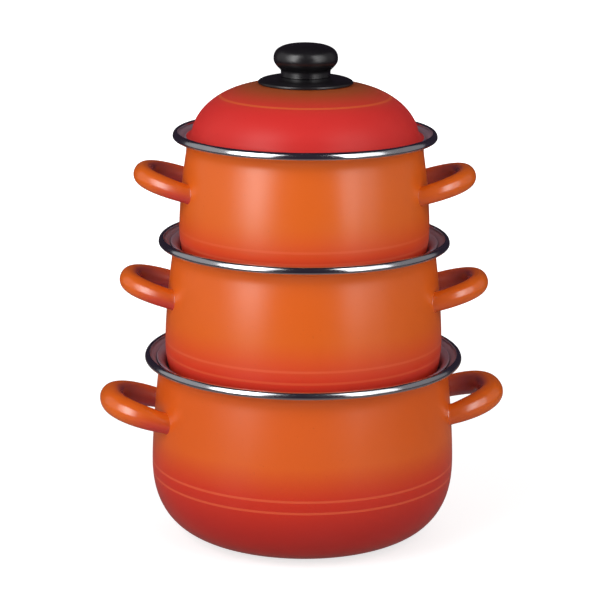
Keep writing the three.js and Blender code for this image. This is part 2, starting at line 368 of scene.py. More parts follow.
def pot_outside(pot):
    """Outer half outline of a pot: hollow foot, cosine step down to the standing ring, superelliptic corner,
    shoulder and lip."""
    foot = pot["foot"] / 2
    belly_height = pot["belly_height"]
    step = np.linspace(0, np.pi, FOOT_STEP_POINTS)
    hollow_edge = foot - FOOT_RING - FOOT_STEP
    foot_step = np.stack([hollow_edge + FOOT_STEP * step / np.pi, FOOT_HOLLOW * (1 + np.cos(step)) / 2], 1)
    corner_wide = pot["belly"] / 2 - foot
    corner = arc((foot, belly_height), corner_wide, belly_height, -90, 0, CORNER_POINTS, CORNER_POWER)
    climb = np.linspace(belly_height, neck_height(pot), SHOULDER_POINTS)
    shoulder = np.stack([wall_radius(pot, climb), climb], 1)
    lip = arc((neck_radius(pot) + LIP_FLARE, neck_height(pot)), LIP_FLARE, LIP_RISE, 180, 90, LIP_POINTS)
    edge = lip[-1] + [LIP_FLANGE, 0]
    wall = softened(joined(corner, shoulder, lip), NECK_SOFTNESS, OUTLINE_STEPS)
    hollow = line((0, FOOT_HOLLOW), (hollow_edge, FOOT_HOLLOW), HOLLOW_POINTS)
    ring = line((foot - FOOT_RING, 0), wall[0], FOOT_RING_POINTS)
    return joined(hollow, foot_step, ring, wall, line(wall[-1], edge, FLAT_POINTS))


def add_pot_body(pot):
    """A turned sheet: the outer outline, and the inner one a sheet thickness inside it. The pole at the foot
    is no row, so the row of faces round the lip's edge is the outer outline's last but one."""
    outside = pot_outside(pot)
    inside = offset(outside, SHEET)[::-1]
    inside[-1, 0] = 0
    outline = np.concatenate([outside, inside])
    lip_edge = len(outside) - 2
    surface = lifted(turned(outline, POT_TURNS), pot_base(pot))
    below = pot_base(pot) + pot["rim_height"] - pot["stripe_drop"] - surface[0][:, 2]
    values = {"below_stripe": below, "in_spray": below + pot["spray_lift"]}
    # Brightness carries the painted light on the upper pots' red
    for tint in ("redness", "brightness"):
        values[tint] = np.full(len(below), pot[tint])
    add_piece(f"glazed_pot_{pot['name']}", f"pot_{pot['name']}_body", surface,
              [ORANGE_GLAZE, DARK_GLAZE], lip_edge, values)


def add_rim_band(pot):
    """A rounded band: nose = hem + depth cos a, height = widest + reach sin a, where the reach is longer
    above the widest level than below it, and hemmed edges curl on to the lip."""
    edge = neck_radius(pot) + LIP_FLARE + LIP_FLANGE
    slot_end = edge + GAP
    slot_mouth = edge - BAND_GRIP
    slot_half = SHEET / 2 + GAP
    rim = pot["rim_height"]
    half = BAND_TALL / 2
    widest = (slot_mouth + BAND_HEM, rim - BAND_DROP)
    depth = slot_end + BAND_NOSE - slot_mouth - BAND_HEM
    lower_nose = arc(widest, depth, half - BAND_DROP, -90, 0, LOWER_NOSE_POINTS)
    upper_nose = arc(widest, depth, half + BAND_DROP, 0, 90, UPPER_NOSE_POINTS)
    hem_tall = half - slot_half
    upper_hem = arc((slot_mouth + BAND_HEM, rim + slot_half), BAND_HEM, hem_tall, 90, 180, HEM_POINTS)
    lower_hem = arc((slot_mouth + BAND_HEM, rim - slot_half), BAND_HEM, hem_tall, 180, 270, HEM_POINTS)
    slot = np.array([[slot_end, rim + slot_half], [slot_end, rim - slot_half]])
    outline = joined(lower_nose, upper_nose, upper_hem, slot, lower_hem)[:-1]
    add_piece(f"steel_band_{pot['name']}", f"pot_{pot['name']}_rim_band",
              lifted(turned(outline, POT_TURNS), pot_base(pot)), [RIM_STEEL])


def loop_path(pot):
    """Half a superellipse in the loop's own plane, as even steps: where the plane starts, then the lengths,
    places and outward directions."""
    start = math.sqrt(neck_radius(pot) ** 2 - (pot["handle_span"] / 2) ** 2) - LOOP_SINK
    tip = pot["belly"] / 2 + pot["handle_reach"] - pot["handle_tube"] / 2 - TIP_TRIM
    reach = (tip - start) / math.cos(math.radians(LOOP_TILT))
    place = arc((0, 0), reach, pot["handle_span"] / 2, -90, 90, LOOP_STEPS, LOOP_POWER)
    place = softened(place, LOOP_SOFTNESS, LOOP_STEPS)
    along = directions(place)
    return start, run_lengths(place), place, np.stack([along[:, 1], -along[:, 0]], 1)


def tube_points(pot, path, travel, angle, swell):
    """Points of the handle's round tube: path + outward (r + e) cos v + plane normal (r + e) sin v, then the
    loop's plane tilted up away from the wall."""
    start, length, place, outward = path
    x, y = (np.interp(travel, length, place[:, k]) for k in range(2))
    out_x, out_y = (np.interp(travel, length, outward[:, k]) for k in range(2))
    radius = pot["handle_tube"] / 2 + swell
    wide = radius * np.cos(angle)
    tall = radius * np.sin(angle)
    tilt = math.radians(LOOP_TILT)
    flat_x = x + out_x * wide
    across = flat_x * math.cos(tilt) - tall * math.sin(tilt) + start
    height = flat_x * math.sin(tilt) + tall * math.cos(tilt) + pot["rim_height"] - pot["handle_drop"]
    return np.stack([across, y + out_y * wide, height], -1)


def weld_travel(pot, path, angle):
    """Path length at which each line along the tube meets the wall, found by halving a bracket."""
    low = np.zeros_like(angle)
    high = np.full_like(angle, WELD_SEARCH)
    for _ in range(HALVINGS):
        middle = (low + high) / 2
        points = tube_points(pot, path, middle, angle, WELD_SPREAD - pot["leg_taper"])
        outside = np.hypot(points[:, 0], points[:, 1]) > wall_radius(pot, points[:, 2]) - WELD_SINK
        high = np.where(outside, middle, high)
        low = np.where(outside, low, middle)
    return high


def with_poles(values, shape):
    """A value for each point of a capped grid, with 0 at its two poles."""
    return np.concatenate([np.broadcast_to(values, shape).ravel(), [0, 0]])


def add_handle(pot, side, half_turns):
    """A round tube along the loop, each line of it running from wall to wall. At a distance d from the wall
    its legs thin by taper (1 - d/leg)^2, and swell at the weld by spread (1 - sqrt(1 - (1 - d/weld)^2))."""
    path = loop_path(pot)
    whole = path[1][-1]
    angle = -np.linspace(0, 2 * np.pi, TUBE_TURNS, endpoint=False)
    foot = weld_travel(pot, path, angle)
    share = (1 - np.cos(np.linspace(0, np.pi, TUBE_RINGS)))[:, None] / 2
    travel = foot + share * (whole - 2 * foot)
    grid = travel.shape
    from_wall = np.minimum(travel - foot, whole - foot - travel)
    closeness = np.clip(1 - from_wall / WELD_LENGTH, 0, 1)
    thinned = pot["leg_taper"] * np.clip(1 - from_wall / LEG_LENGTH, 0, 1) ** 2
    swell = WELD_SPREAD * (1 - np.sqrt(1 - closeness ** 2)) - thinned
    points = tube_points(pot, path, travel, np.broadcast_to(angle, grid), swell)
    turn = Matrix.Rotation(math.radians(pot["handle_turn"]) + half_turns * math.pi, 3, "Z")
    points = points @ np.array(turn).T
    surface = lifted(capped(points, points[0].mean(0), points[-1].mean(0)), pot_base(pot))
    values = {
        "from_wall": with_poles(from_wall, grid),
        "underside": with_poles(-np.sin(angle), grid),
        "inward": with_poles(-np.cos(angle), grid),
        # Per side share of the red under the legs; the left handles' full share is a painted reflection
        "root_red_and_reflection": np.full(len(surface[0]), ROOT_RED_AND_REFLECTION[side]),
    }
    add_piece(f"loop_handle_{pot['name']}_{side}", f"pot_{pot['name']}_handle_{side}",
              surface, [HANDLE_GLAZE], None, values)


def crown_height(pot):
    """Outside height of the lid at its middle."""
    return SPRING_HEIGHT + pot["dome_rise"]


def dome_height(pot, radius):
    """Outside height of the dome: spring + rise cos^(2/q) t, where radius = dome radius sin^(2/p) t."""
    dome_radius = pot["mouth"] / 2 - DOME_INSET
    sine = np.clip(radius / dome_radius, 0, 1) ** (DOME_SIDE_POWER / 2)
    cosine = np.sqrt(np.clip(1 - sine ** 2, 0, 1))
    return SPRING_HEIGHT + pot["dome_rise"] * cosine ** (2 / DOME_TOP_POWER)


def lid_outside(pot):
    """Outer half outline of a lid from its screw hole to the end of its brim: crown, steep flank and cove."""
    dome_radius = pot["mouth"] / 2 - DOME_INSET
    top = np.linspace(SCREW_HOLE, FLANK_SHARE * dome_radius, DOME_POINTS)
    crown = np.stack([top, dome_height(pot, top)], 1)
    first = math.degrees(math.asin(FLANK_SHARE ** (DOME_SIDE_POWER / 2)))
    angle = np.radians(np.linspace(first, 90, DOME_POINTS))
    rise = pot["dome_rise"] * np.cos(angle).round(CLEAN_DECIMALS) ** (2 / DOME_TOP_POWER)
    flank = np.stack([dome_radius * np.sin(angle) ** (2 / DOME_SIDE_POWER), SPRING_HEIGHT + rise], 1)
    cove_wide = BRIM_OVERLAP + DOME_INSET
    cove = arc((dome_radius + cove_wide, SPRING_HEIGHT), cove_wide, -COVE_TALL, 180, 90, COVE_POINTS)
    return softened(joined(crown, flank, cove), LID_SOFTNESS, OUTLINE_STEPS)


def add_lid_shell(pot):
    """A turned sheet: the inner outline a sheet thickness under the outer one, with a round brim edge."""
    outside = lid_outside(pot)
    brim = outside[-1] - [SHEET / 2, SHEET / 2]
    outside = outside[outside[:, 0] < brim[0]]
    inside = offset(outside, -SHEET)
    nose = arc(brim, SHEET / 2, SHEET / 2, -90, 90, BRIM_POINTS)
    outline = joined(inside, nose, outside[::-1])
    surface = on_lid(turned(outline, POT_TURNS), pot)
    ring = RING_SHARE * pot["mouth"] / 2
    radius = np.hypot(surface[0][:, 0], surface[0][:, 1])
    add_piece(f"glazed_lid_{pot['name']}", f"lid_{pot['name']}_shell", surface,
              [DARK_GLAZE, RED_GLAZE], len(inside) + len(nose), {"past_ring": radius - ring})


def knob_seat(pot):
    """Height above the brim at which the knob stands on its skirt."""
    return crown_height(pot) + SKIRT_RISE + 2 * GAP


def add_knob_skirt(pot):
    """A turned disc: its underside lies on the dome, its top is a superellipse that climbs to the neck."""
    radius = np.linspace(SCREW_HOLE, SKIRT_WIDE / 2 - EDGE_ROUND, SKIRT_UNDER_POINTS)
    under = np.stack([radius, dome_height(pot, radius) + GAP], 1)
    edge_top = dome_height(pot, SKIRT_WIDE / 2) + GAP + SKIRT_EDGE
    seat = knob_seat(pot) - GAP
    edge = arc(under[-1] + [0, EDGE_ROUND], EDGE_ROUND, EDGE_ROUND, -90, 0, EDGE_POINTS)
    ledge = (SKIRT_WIDE - NECK_WIDE) / 2
    top = arc((NECK_WIDE / 2, edge_top), ledge, seat - edge_top, 0, 90, SKIRT_TOP_POINTS, SKIRT_POWER)
    outline = joined(under, edge, top, line((NECK_WIDE / 2, seat), (SCREW_HOLE, seat), SKIRT_SEAT_POINTS))
    add_piece(f"knob_skirt_{pot['name']}", f"lid_{pot['name']}_knob_skirt",
              on_lid(turned(outline, KNOB_TURNS), pot), [KNOB_RESIN])


def add_knob(pot):
    """A turned grip: straight neck, flank r = neck + swell sin(90 s), superelliptic crown, blind bore."""
    seat = knob_seat(pot)
    bore = INSERT_WIDE / 2 + GAP
    bore_top = seat + INSERT_LONG + GAP
    share = np.linspace(0, 1, FLANK_POINTS)
    flank_foot = seat + NECK_TALL
    swell = (CAP_WIDE - NECK_WIDE) / 2 * np.sin(share * np.pi / 2)
    flank = np.stack([NECK_WIDE / 2 + swell, flank_foot + CAP_FLANK * share], 1)
    neck = line((NECK_WIDE / 2, seat), flank[0], NECK_POINTS)
    grip = softened(joined(neck, flank), KNOB_SOFTNESS, GRIP_POINTS)
    crown = arc((0, flank_foot + CAP_FLANK), CAP_WIDE / 2, CAP_CROWN, 0, 90, CAP_POINTS, CAP_POWER)
    blind = np.array([[0, bore_top], [bore, bore_top], [bore, seat]])
    add_piece(f"knob_{pot['name']}", f"lid_{pot['name']}_knob",
              on_lid(turned(joined(blind, grip, crown), KNOB_TURNS), pot), [KNOB_RESIN])


def add_knob_insert(pot):
    """A turned sleeve whose outside dips in cosine grooves that key it in the resin."""
    seat = knob_seat(pot)
    height = np.linspace(0, 1, GROOVE_POINTS)
    groove = INSERT_GROOVE * np.maximum(-np.cos(2 * np.pi * INSERT_GROOVES * height), 0)
    outer = np.stack([INSERT_WIDE / 2 - groove, seat + INSERT_LONG * height], 1)
    inner = line((SCREW_HOLE, seat + INSERT_LONG), (SCREW_HOLE, seat), FLAT_POINTS)
    add_piece(f"knob_insert_{pot['name']}", f"lid_{pot['name']}_knob_insert",
              on_lid(turned(joined(outer, inner), SCREW_TURNS), pot), [TURNED_BRASS])


def washer_top(pot):
    """Height above the brim of the washer's upper face, just under the lid's sheet."""
    return crown_height(pot) - SHEET - GAP


def add_washer(pot):
    """A turned ring with rounded outer edges."""
    top = washer_top(pot)
    outer = WASHER_WIDE / 2 - EDGE_ROUND
    bottom = top - WASHER_THICK
    lower = arc((outer, bottom + EDGE_ROUND), EDGE_ROUND, EDGE_ROUND, -90, 0, EDGE_POINTS)
    upper = arc((outer, top - EDGE_ROUND), EDGE_ROUND, EDGE_ROUND, 0, 90, EDGE_POINTS)
    outline = joined(line((SCREW_HOLE, bottom), (outer, bottom), FLAT_POINTS), lower, upper,
                     line((outer, top), (SCREW_HOLE, top), FLAT_POINTS))
    add_piece(f"lid_washer_{pot['name']}", f"lid_{pot['name']}_washer",
              on_lid(turned(outline, SCREW_TURNS), pot), [PLATED_STEEL])


def slot_depth(along, across):
    """One slot of the screw's cross: 1 inside its length and width, easing to 0 over a short wall."""
    reach = np.clip((RECESS_REACH - np.abs(along)) / (RECESS_REACH - RECESS_FLOOR), 0, 1)
    wall = np.clip((RECESS_HALF + RECESS_WALL / 2 - np.abs(across)) / RECESS_WALL, 0, 1)
    return reach * wall


def add_screw(pot):
    """A turned screw whose shank has r = half width - depth (1 - cos(2 pi h/pitch - a))/2, and whose domed
    head is sunk by a cross of two rounded slots."""
    head_top = washer_top(pot) - WASHER_THICK - GAP
    head_middle = head_top - SCREW_HEAD_TALL / 2
    tip = knob_seat(pot) + SCREW_GRIP
    head = arc((0, head_middle), SCREW_HEAD_WIDE / 2, SCREW_HEAD_TALL / 2, -90, 0, HEAD_POINTS)
    seat = line((SCREW_HEAD_WIDE / 2, head_top), (SCREW_WIDE / 2, head_top), FLAT_POINTS)
    shank = line((SCREW_WIDE / 2, head_top), (SCREW_WIDE / 2, tip), SHANK_POINTS)
    outline = joined(head, seat, shank, [(0, tip)])
    points, faces, face_rows = turned(outline, SCREW_TURNS)
    x, y, height = points.T
    on_shank = np.clip((height - head_top - GAP) / THREAD_PITCH, 0, 1)
    wave = (1 - np.cos(2 * np.pi * height / THREAD_PITCH - np.arctan2(y, x))) / 2
    shrink = 1 - on_shank * wave * THREAD_DEPTH / (SCREW_WIDE / 2)
    cross = np.maximum(slot_depth(x, y), slot_depth(y, x)) * (height < head_middle)
    cut = np.stack([x * shrink, y * shrink, height + RECESS_DEPTH * cross], 1)
    add_piece(f"lid_screw_{pot['name']}", f"lid_{pot['name']}_screw",
              on_lid((cut, faces, face_rows), pot), [PLATED_STEEL])


# Finishes


# Scales are in waves per metre, sprays in millimetres, and a pair is where an effect starts and is full
RIPPLE_SCALE = 110.0
SKIN_SCALE = 700.0
SKIN_SHARE = 0.06
PINHOLE_SCALE = 1300.0
PINHOLE_RANGE = (0.74, 0.8)
PINHOLE_SHARE = 0.35
FILM_SCALE = 16.0
FILM_RANGE = (0.36, 0.72)
FILM_DULLING = 0.06
DRIFT_SCALE = 14.0
DRIFT_SHARE = 1.4
DROPLET_SCALE = 900.0
NOISE_MEAN = 0.5
SPRAY_WANDER = 5.0
RED_SPRAY = (-24.0, 14.0)
DEEP_SPRAY = (4.0, 38.0)
CROWN_SPRAY = (9.0, -25.0)
ROOT_REACH = (34.0, 10.0)
UNDERSIDE_RANGE = (-0.8, 0.6)
INWARD_RANGE = (-0.1, 0.8)
# Painted shade inside the handle loops: the reach from the wall over which it deepens toward the bend, and
# its shares
BEND_SHADE = (4.0, 28.0)
LOOP_SHADE = 0.5
LOOP_BEND_SHADE = 0.35
STRIPE_GAP = 8.1
STRIPE_HALF = 0.55
STRIPE_FADE = 0.5
STRIPE_SHARE = 0.5
FLECK_SCALE = 420.0
FLECK_RANGE = (0.62, 0.72)
FLECK_SHARE = 0.5
GRAIN_SCALE = 6000.0
RUB_SCALE = 45.0
RUB_RANGE = (0.4, 0.7)
RUB_SHARE = 0.5
RUB_DULLING = 0.05
KNOB_DULL = 0.3
KNOB_GLOSS = 1.68
KNOB_RIPPLES = 260.0
KNOB_FINENESS = 3000.0
KNOB_GRAIN_SHARE = 0.3
BLOOM_SHARE = 0.5

# Bumps: how strong, and how deep in millimetres
GLAZE_BUMP = (0.25, 0.05)
METAL_BUMP = (0.06, 0.02)
RESIN_BUMP = (0.15, 0.04)

# Numbers of the colour sockets on a mix node
MIX_SHARE = 0
MIX_FIRST = 6
MIX_SECOND = 7
MIX_RESULT = 2

WHITE = (1, 1, 1, 1)


def linear(red, green, blue):
    """A screen colour of 0 to 255 as the linear colour that a shader takes: the sRGB curve, which is
    c / 12.92 near black and ((c + 0.055) / 1.055)^2.4 above that."""
    screen = np.array([red, green, blue]) / 255
    shade = np.where(screen <= 0.04045, screen / 12.92, ((screen + 0.055) / 1.055) ** 2.4)
    return (*shade.tolist(), 1.0)


class Nodes:
    """Adds nodes to one tree. A socket given as an input is linked, and anything else is set as its value."""

    def __init__(self, tree):
        self.tree = tree

    def add(self, kind, inputs, **settings):
        """A new node with its settings and inputs."""
        node = self.tree.nodes.new(kind)
        for key, value in settings.items():
            setattr(node, key, value)
        for key, value in inputs.items():
            self.join(node.inputs[key], value)
        return node

    def join(self, socket, value):
        """Links a socket to another one, or sets its value."""
        if isinstance(value, bpy.types.NodeSocket):
            self.tree.links.new(value, socket)
        else:
            socket.default_value = value

    def math(self, operation, *values):
        """The result of one operation on numbers."""
        return self.add("ShaderNodeMath", dict(enumerate(values)), operation=operation).outputs[0]

    def ease(self, value, low, high):
        """0 at low and 1 at high, easing at both ends; low may be the larger."""
        span = {"Value": value, "From Min": low, "From Max": high}
        return self.add("ShaderNodeMapRange", span, interpolation_type="SMOOTHSTEP").outputs["Result"]

    def stripe(self, value, middle):
        """1 on a thin stripe about the middle, fading to 0 just past it."""
        away = self.math("ABSOLUTE", self.math("SUBTRACT", value, middle))
        return self.ease(away, STRIPE_HALF + STRIPE_FADE, STRIPE_HALF)

    def blend(self, share, first, second):
        """The first colour where share is 0 and the second where it is 1."""
        inputs = {MIX_SHARE: share, MIX_FIRST: first, MIX_SECOND: second}
        return self.add("ShaderNodeMix", inputs, data_type="RGBA").outputs[MIX_RESULT]

    def place(self):
        """The place on the piece, in metres."""
        return self.add("ShaderNodeTexCoord", {}).outputs["Object"]

    def from_middle(self):
        """The distance from the middle of the floor, in metres."""
        return self.add("ShaderNodeVectorMath", {0: self.place()}, operation="LENGTH").outputs["Value"]

    def noise(self, vector, scale, detail):
        """Smooth noise of about 0 to 1."""
        inputs = {"Vector": vector, "Scale": scale, "Detail": detail}
        return self.add("ShaderNodeTexNoise", inputs).outputs["Fac"]

    def value(self, name):
        """The piece's own attribute of that name."""
        return self.add("ShaderNodeAttribute", {}, attribute_name=name).outputs["Fac"]

    def group(self, tree, inputs):
        """The outputs of an effect."""
        node = self.tree.nodes.new("ShaderNodeGroup")
        node.node_tree = tree
        for key, value in inputs.items():
            self.join(node.inputs[key], value)
        return node.outputs

    def bump(self, height, strength, depth):
        """The normal of a surface raised by a height of 0 to 1."""
        inputs = {"Height": height, "Strength": strength, "Distance": depth * MM}
        return self.add("ShaderNodeBump", inputs).outputs["Normal"]


def effect(name, inputs, outputs):
    """An empty node group with number sockets: its nodes, its input sockets and its output sockets."""
    tree = bpy.data.node_groups.new(name, "ShaderNodeTree")
    for label, default in inputs.items():
        socket = tree.interface.new_socket(label, in_out="INPUT", socket_type="NodeSocketFloat")
        socket.default_value = default
    for label in outputs:
        tree.interface.new_socket(label, in_out="OUTPUT", socket_type="NodeSocketFloat")
    nodes = Nodes(tree)
    return nodes, nodes.add("NodeGroupInput", {}).outputs, nodes.add("NodeGroupOutput", {}).inputs


def glaze_skin():
    """Fired glaze: slow ripples under a fine skin, pinholes, and a film that dulls the gloss in patches."""
    nodes, taken, given = effect("glaze_skin", {"Ripples": RIPPLE_SCALE}, ("Height", "Pinholes", "Film"))
    place = nodes.place()
    slow = nodes.noise(place, taken["Ripples"], detail=2.0)
    fine = nodes.noise(place, SKIN_SCALE, detail=2.0)
    pits = nodes.noise(place, PINHOLE_SCALE, detail=1.0)
    patches = nodes.noise(place, FILM_SCALE, detail=5.0)
    nodes.join(given["Height"], nodes.math("MULTIPLY_ADD", fine, SKIN_SHARE, slow))
    nodes.join(given["Pinholes"], nodes.ease(pits, *PINHOLE_RANGE))
    nodes.join(given["Film"], nodes.ease(patches, *FILM_RANGE))
    return nodes.tree


def spray_mist():
    """The wander of a sprayed colour's edge, about -1 to 1: slow drift and a grain of droplets."""
    nodes, taken, given = effect("spray_mist", {"Droplets": DROPLET_SCALE}, ("Wander",))
    place = nodes.place()
    drift = nodes.math("SUBTRACT", nodes.noise(place, DRIFT_SCALE, detail=3.0), NOISE_MEAN)
    grain = nodes.math("SUBTRACT", nodes.noise(place, taken["Droplets"], detail=2.0), NOISE_MEAN)
    nodes.join(given["Wander"], nodes.math("ADD", nodes.math("MULTIPLY", drift, DRIFT_SHARE), grain))
    return nodes.tree


def turned_grain():
    """Fine rings about the upright axis, as a polishing wheel leaves: noise of radius and height."""
    nodes, taken, given = effect("turned_grain", {"Fineness": GRAIN_SCALE}, ("Grain", "Rub"))
    place = nodes.place()
    x, y, height = nodes.add("ShaderNodeSeparateXYZ", {"Vector": place}).outputs
    radius = nodes.math("SQRT", nodes.math("ADD", nodes.math("MULTIPLY", x, x), nodes.math("MULTIPLY", y, y)))
    rings = nodes.add("ShaderNodeCombineXYZ", {"X": radius, "Y": height}).outputs["Vector"]
    nodes.join(given["Grain"], nodes.noise(rings, taken["Fineness"], detail=3.0))
    nodes.join(given["Rub"], nodes.ease(nodes.noise(place, RUB_SCALE, detail=5.0), *RUB_RANGE))
    return nodes.tree


GLAZE_SKIN = glaze_skin()
SPRAY_MIST = spray_mist()
TURNED_GRAIN = turned_grain()

ORANGE = linear(226, 99, 16)
FOOT_RED = linear(208, 44, 15)
# Painted light: a lighter copy of the foot red for the upper pots, standing in for light reflected up from
# below
PAINTED_LIT_RED = linear(228, 58, 32)
DEEP_RED = linear(186, 34, 24)
STRIPE = linear(237, 105, 62)
LID_RED = linear(210, 46, 42)
# The lid crown's sprayed orange, painted darker as shade on the upward-facing top
SHADED_CROWN_ORANGE = linear(160, 74, 32)
RING_ORANGE = linear(222, 110, 50)
# Red under the handle legs near the wall: a faint sprayed red, made strong on the left handles as a painted
# reflection
LEG_RED_AND_REFLECTION = linear(204, 54, 40)
# Painted shade: the darker mauve brown laid inside each handle loop
LOOP_PAINTED_SHADE = linear(112, 70, 94)
LINING = linear(160, 142, 156)
LINING_FLECK = linear(180, 162, 172)
PINHOLE_SHADE = linear(96, 34, 18)
POLISHED_STEEL = linear(226, 228, 232)
RUBBED_STEEL = linear(208, 210, 214)
BRIGHT_ZINC = linear(176, 182, 190)
RUBBED_ZINC = linear(140, 142, 146)
BRIGHT_BRASS = linear(206, 168, 92)
RUBBED_BRASS = linear(160, 122, 62)
KNOB_BLACK = linear(17, 15, 18)
KNOB_BLOOM = linear(27, 25, 28)


def finish(name, roughness, metallic=0.0):
    """A new material: itself, its nodes and its shader, with the plain values set on the shader."""
    material = bpy.data.materials.new(name)
    material.use_nodes = True
    shader = material.node_tree.nodes["Principled BSDF"]
    shader.inputs["Roughness"].default_value = roughness
    shader.inputs["Metallic"].default_value = metallic
    return material, Nodes(material.node_tree), shader.inputs


def glaze(name, colour_of, ripples, gloss, dull):
    """A fired glaze whose colour comes from a function of its nodes. Gloss is its index of refraction, and
    dull its lowest roughness, which a film raises in patches."""
    material, nodes, shader = finish(name, dull)
    shader["IOR"].default_value = gloss
    skin = nodes.group(GLAZE_SKIN, {"Ripples": ripples})
    pinholes = nodes.math("MULTIPLY", skin["Pinholes"], PINHOLE_SHARE)
    nodes.join(shader["Base Color"], nodes.blend(pinholes, colour_of(nodes), PINHOLE_SHADE))
    nodes.join(shader["Roughness"], nodes.math("MULTIPLY_ADD", skin["Film"], FILM_DULLING, dull))
    nodes.join(shader["Normal"], nodes.bump(skin["Height"], *GLAZE_BUMP))
    return material


def misted(nodes, reach):
    """The piece's reach of that name, in millimetres, with the wander of a sprayed edge added to it. On the
    handles the same wander breaks up the edges of the painted reflection and the painted shade.
    """
    wander = nodes.group(SPRAY_MIST, {})["Wander"]
    return nodes.math("MULTIPLY_ADD", wander, SPRAY_WANDER, nodes.value(reach))


def pot_colour(nodes):
    """Orange, a little redder on the larger pots, sprayed from the foot up to two pale stripes with red,
    which is painted lighter on the smaller pots: painted light standing in for what the rim and lid below
    reflect on to their feet."""
    below = nodes.value("below_stripe")
    spray = misted(nodes, "in_spray")
    red = nodes.math("MAXIMUM", nodes.ease(spray, *RED_SPRAY), nodes.value("redness"))
    # Painted light: the upper pots' red turns lighter with their brightness
    sprayed = nodes.blend(nodes.value("brightness"), FOOT_RED, PAINTED_LIT_RED)
    body = nodes.blend(red, ORANGE, sprayed)
    body = nodes.blend(nodes.ease(spray, *DEEP_SPRAY), body, DEEP_RED)
    lines = nodes.math("MAXIMUM", nodes.stripe(below, 0.0), nodes.stripe(below, STRIPE_GAP))
    return nodes.blend(nodes.math("MULTIPLY", lines, STRIPE_SHARE), body, STRIPE)


def lid_colour(nodes):
    """Red, sprayed with orange over the crown inside one pale ring. The crown's orange is painted darker than
    the pots' orange, as painted shade on the upward-facing top.
    """
    spray = misted(nodes, "past_ring")
    # Sprayed orange crown, in a colour that also carries painted shade
    body = nodes.blend(nodes.ease(spray, *CROWN_SPRAY), LID_RED, SHADED_CROWN_ORANGE)
    ring = nodes.stripe(nodes.value("past_ring"), 0.0)
    return nodes.blend(nodes.math("MULTIPLY", ring, STRIPE_SHARE), body, RING_ORANGE)


def handle_colour(nodes):
    """Orange; red under the legs near the wall, faint on the right handles and strong on the left ones as a
    painted reflection; and painted shade inside the loop, deepest at the bend.
    """
    spray = misted(nodes, "from_wall")
    under = nodes.ease(nodes.value("underside"), *UNDERSIDE_RANGE)
    # Red under the legs near the wall, strong on the left handles as a painted reflection
    low_root = nodes.math("MULTIPLY", nodes.ease(spray, *ROOT_REACH), under)
    body = nodes.blend(nodes.math("MULTIPLY", low_root, nodes.value("root_red_and_reflection")), ORANGE, LEG_RED_AND_REFLECTION)
    inner = nodes.ease(nodes.value("inward"), *INWARD_RANGE)
    # Painted shade inside the loop, deeper toward the bend
    deep = nodes.math("MULTIPLY_ADD", nodes.ease(spray, *BEND_SHADE), LOOP_BEND_SHADE, LOOP_SHADE)
    return nodes.blend(nodes.math("MULTIPLY", inner, deep), body, LOOP_PAINTED_SHADE)


def lining_colour(nodes):
    """Mauve grey with a fine paler fleck."""
    fleck = nodes.ease(nodes.noise(nodes.place(), FLECK_SCALE, detail=2.0), *FLECK_RANGE)
    return nodes.blend(nodes.math("MULTIPLY", fleck, FLECK_SHARE), LINING, LINING_FLECK)


def turned_metal(name, bright, rubbed, roughness, grain_share, fineness):
    """Metal with fine turned rings in its gloss and patches that handling has rubbed."""
    material, nodes, shader = finish(name, roughness, 1.0)
    grain = nodes.group(TURNED_GRAIN, {"Fineness": fineness})
    worn = nodes.math("MULTIPLY", grain["Rub"], RUB_SHARE)
    nodes.join(shader["Base Color"], nodes.blend(worn, bright, rubbed))
    rough = nodes.math("MULTIPLY_ADD", grain["Grain"], grain_share, roughness - grain_share / 2)
    nodes.join(shader["Roughness"], nodes.math("MULTIPLY_ADD", grain["Rub"], RUB_DULLING, rough))
    nodes.join(shader["Normal"], nodes.bump(grain["Grain"], *METAL_BUMP))
    return material


def knob_resin():
    """Moulded black resin: a faint turned grain, a grey bloom in patches and a fine moulded skin."""
    material, nodes, shader = finish("knob_resin", KNOB_DULL)
    shader["IOR"].default_value = KNOB_GLOSS
    skin = nodes.group(GLAZE_SKIN, {"Ripples": KNOB_RIPPLES})
    grain = nodes.group(TURNED_GRAIN, {"Fineness": KNOB_FINENESS})
    bloom = nodes.math("MULTIPLY", skin["Film"], BLOOM_SHARE)
    nodes.join(shader["Base Color"], nodes.blend(bloom, KNOB_BLACK, KNOB_BLOOM))
    nodes.join(shader["Roughness"], nodes.math("MULTIPLY_ADD", grain["Rub"], RUB_DULLING, KNOB_DULL))
    height = nodes.math("MULTIPLY_ADD", grain["Grain"], KNOB_GRAIN_SHARE, skin["Height"])
    nodes.join(shader["Normal"], nodes.bump(height, *RESIN_BUMP))
    return material


ORANGE_GLAZE = glaze("orange_glaze", pot_colour, ripples=RIPPLE_SCALE, gloss=1.62, dull=0.28)
RED_GLAZE = glaze("red_glaze", lid_colour, ripples=RIPPLE_SCALE, gloss=1.32, dull=0.4)
HANDLE_GLAZE = glaze("handle_glaze", handle_colour, ripples=180.0, gloss=1.9, dull=0.2)
DARK_GLAZE = glaze("dark_glaze", lining_colour, ripples=140.0, gloss=1.6, dull=0.28)
RIM_STEEL = turned_metal("rim_steel", POLISHED_STEEL, RUBBED_STEEL,
                         roughness=0.14, grain_share=0.06, fineness=5000.0)
PLATED_STEEL = turned_metal("plated_steel", BRIGHT_ZINC, RUBBED_ZINC,
                            roughness=0.35, grain_share=0.12, fineness=6000.0)
TURNED_BRASS = turned_metal("turned_brass", BRIGHT_BRASS, RUBBED_BRASS,
                            roughness=0.36, grain_share=0.14, fineness=7000.0)
KNOB_RESIN = knob_resin()


